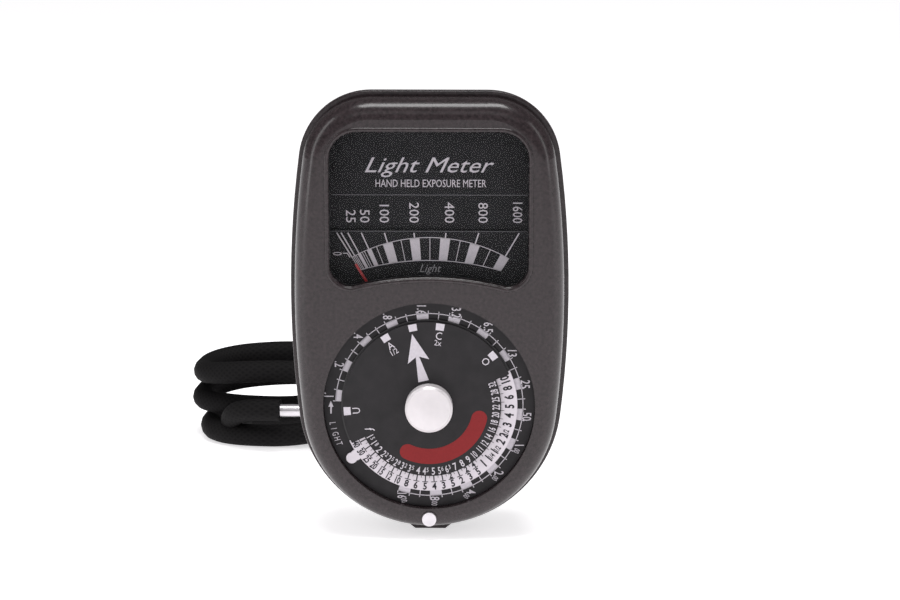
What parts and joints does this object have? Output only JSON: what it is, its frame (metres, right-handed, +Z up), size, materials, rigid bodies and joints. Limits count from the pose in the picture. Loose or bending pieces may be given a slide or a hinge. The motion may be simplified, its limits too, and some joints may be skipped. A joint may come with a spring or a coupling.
{
  "type": "handheld light meter",
  "caption": "Pocket photographic light meter with a calculator dial, a needle scale window, a hinged rear light baffle and a neck cord.",
  "frame": {"origin": "centre of the meter's footprint at the underside of its cord lug, the neck cord left out", "axes": "+Z up towards the window end, -Y out of the dial face, +X to the right seen from the front"},
  "size_m": [0.0935, 0.111, 0.0975],
  "materials": {
    "enamel": "gloss",
    "glass": "clear",
    "rubber": "matte",
    "scale_black": "matte",
    "dial_black": "satin",
    "dial_silver": "satin",
    "spun_aluminium": "spun",
    "steel": "satin",
    "brass": "satin",
    "magnet_steel": "rough",
    "needle_red": "satin",
    "copper_coil": "satin",
    "selenium": "satin",
    "board": "matte",
    "cord": "braided"
  },
  "bodies": {
    "case": {"front_case": "enamel", "rear_case": "enamel", "window_glass": "glass", "window_gasket": "rubber", "scale_plate": "scale_black", "plate_screws": "brass", "range_guides": "brass", "dial_post": "steel", "lock_spring": "steel", "lock_bracket": "brass", "magnet": "magnet_steel", "pole_shoes": "magnet_steel", "core": "magnet_steel", "front_bridge": "brass", "rear_bridge": "brass", "jewel_screws": "brass", "photocell": "selenium", "cell_retainer": "brass", "terminal_board": "board", "trim_resistor": "board", "cell_leads": "copper_coil", "hinge_pin": "steel", "hinge_lugs": "steel", "rear_plate": "dial_silver", "case_screws": "steel", "cord_lug": "enamel", "cord_ferrule": "steel", "end_ferrule": "steel", "neck_cord_lead": "cord", "neck_cord_coil": "cord"},
    "needle_body": {"needle": "needle_red", "moving_coil": "copper_coil", "pivots": "steel", "hairsprings": "copper_coil"},
    "top_dial": {"exposure_dial": "dial_black", "dial_knob": "spun_aluminium"},
    "ring_dial": {"speed_ring": "dial_silver"},
    "outer_dial": {"light_dial": "dial_black"},
    "button_body": {"lock_button": "steel"},
    "baffle_body": {"baffle": "enamel"},
    "range_body": {"range_plate": "scale_black", "range_link": "brass"},
    "lever_body": {"zero_lever": "brass"},
    "zero_body": {"zero_adjuster": "steel"}
  },
  "joints": [
    {"name": "needle_swing", "type": "hinge", "parent": "case", "child": "needle_body", "pos_m": [0, -0.0056, 0.034], "axis": [0, 1, 0], "range_deg": [0, 62], "stiffness_Nm_per_rad": 0.00002},
    {"name": "exposure_dial_turn", "type": "hinge", "parent": "case", "child": "top_dial", "pos_m": [0, -0.0105, 0.03], "axis": [0, 1, 0], "continuous": true},
    {"name": "speed_ring_turn", "type": "hinge", "parent": "case", "child": "ring_dial", "pos_m": [0, -0.0098, 0.03], "axis": [0, 1, 0], "range_deg": [-100, 100]},
    {"name": "light_dial_turn", "type": "hinge", "parent": "case", "child": "outer_dial", "pos_m": [0, -0.009, 0.03], "axis": [0, 1, 0], "range_deg": [-70, 70]},
    {"name": "lock_button_press", "type": "slide", "parent": "case", "child": "button_body", "axis": [0, 1, 0], "range_m": [0, 0.0006], "stiffness_N_per_m": 400, "springref_m": -0.0005, "deforming": ["lock_spring"]},
    {"name": "baffle_swing", "type": "hinge", "parent": "case", "child": "baffle_body", "pos_m": [0, 0.01275, 0.0472], "axis": [-1, 0, 0], "range_deg": [0, 178]},
    {"name": "range_plate_slide", "type": "slide", "parent": "case", "child": "range_body", "axis": [0, 0, 1], "range_m": [0, 0.0075]},
    {"name": "zero_adjust", "type": "hinge", "parent": "case", "child": "zero_body", "pos_m": [0, 0.0113, 0.022], "axis": [0, 1, 0], "range_deg": [-60, 60]},
    {"name": "zero_lever_swing", "type": "hinge", "parent": "case", "child": "lever_body", "pos_m": [0, 0.0067, 0.034], "axis": [0, 1, 0], "range_deg": [-3.75, 3.75]}
  ],
  "couplings": [
    {"joint": "range_plate_slide", "follows": "baffle_swing", "m_per_rad": 0.002382},
    {"joint": "zero_lever_swing", "follows": "zero_adjust", "ratio": -0.062}
  ]
}
